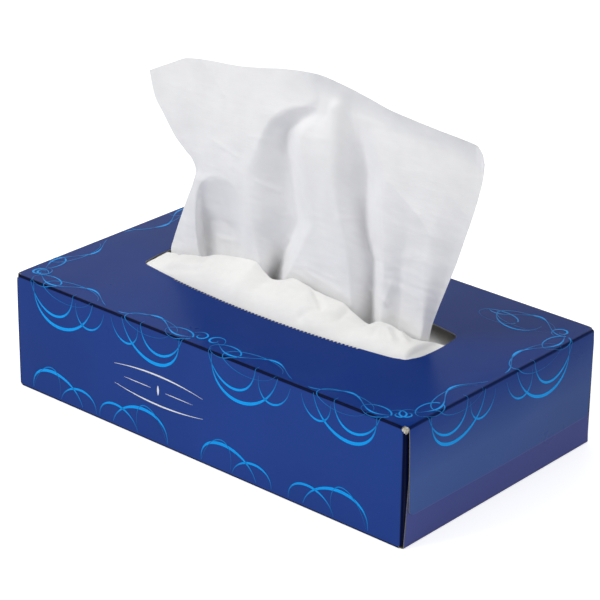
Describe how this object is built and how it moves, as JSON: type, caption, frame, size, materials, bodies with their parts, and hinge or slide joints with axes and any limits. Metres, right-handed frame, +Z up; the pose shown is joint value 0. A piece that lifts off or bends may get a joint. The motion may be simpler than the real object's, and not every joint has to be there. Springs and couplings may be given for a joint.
{
  "type": "tissue box",
  "caption": "Folded board carton of facial tissues with a bowed opening torn out of its top, a tissue standing up out of it and the next one puffed up in front.",
  "frame": {"origin": "the middle of the bottom panel's outer face, on the table", "axes": "X along the carton's length, the front panel faces -Y, Z up out of the opening"},
  "size_m": [0.23, 0.132, 0.1646],
  "materials": {
    "printed_board": "glossy print outside",
    "tissue_pile": "matte",
    "tissue": "matte, soft"
  },
  "bodies": {
    "root": {"carton": "printed_board", "tissue_stack": "tissue_pile", "next_tissue": "tissue", "pulled_tissue": "tissue"}
  },
  "joints": []
}
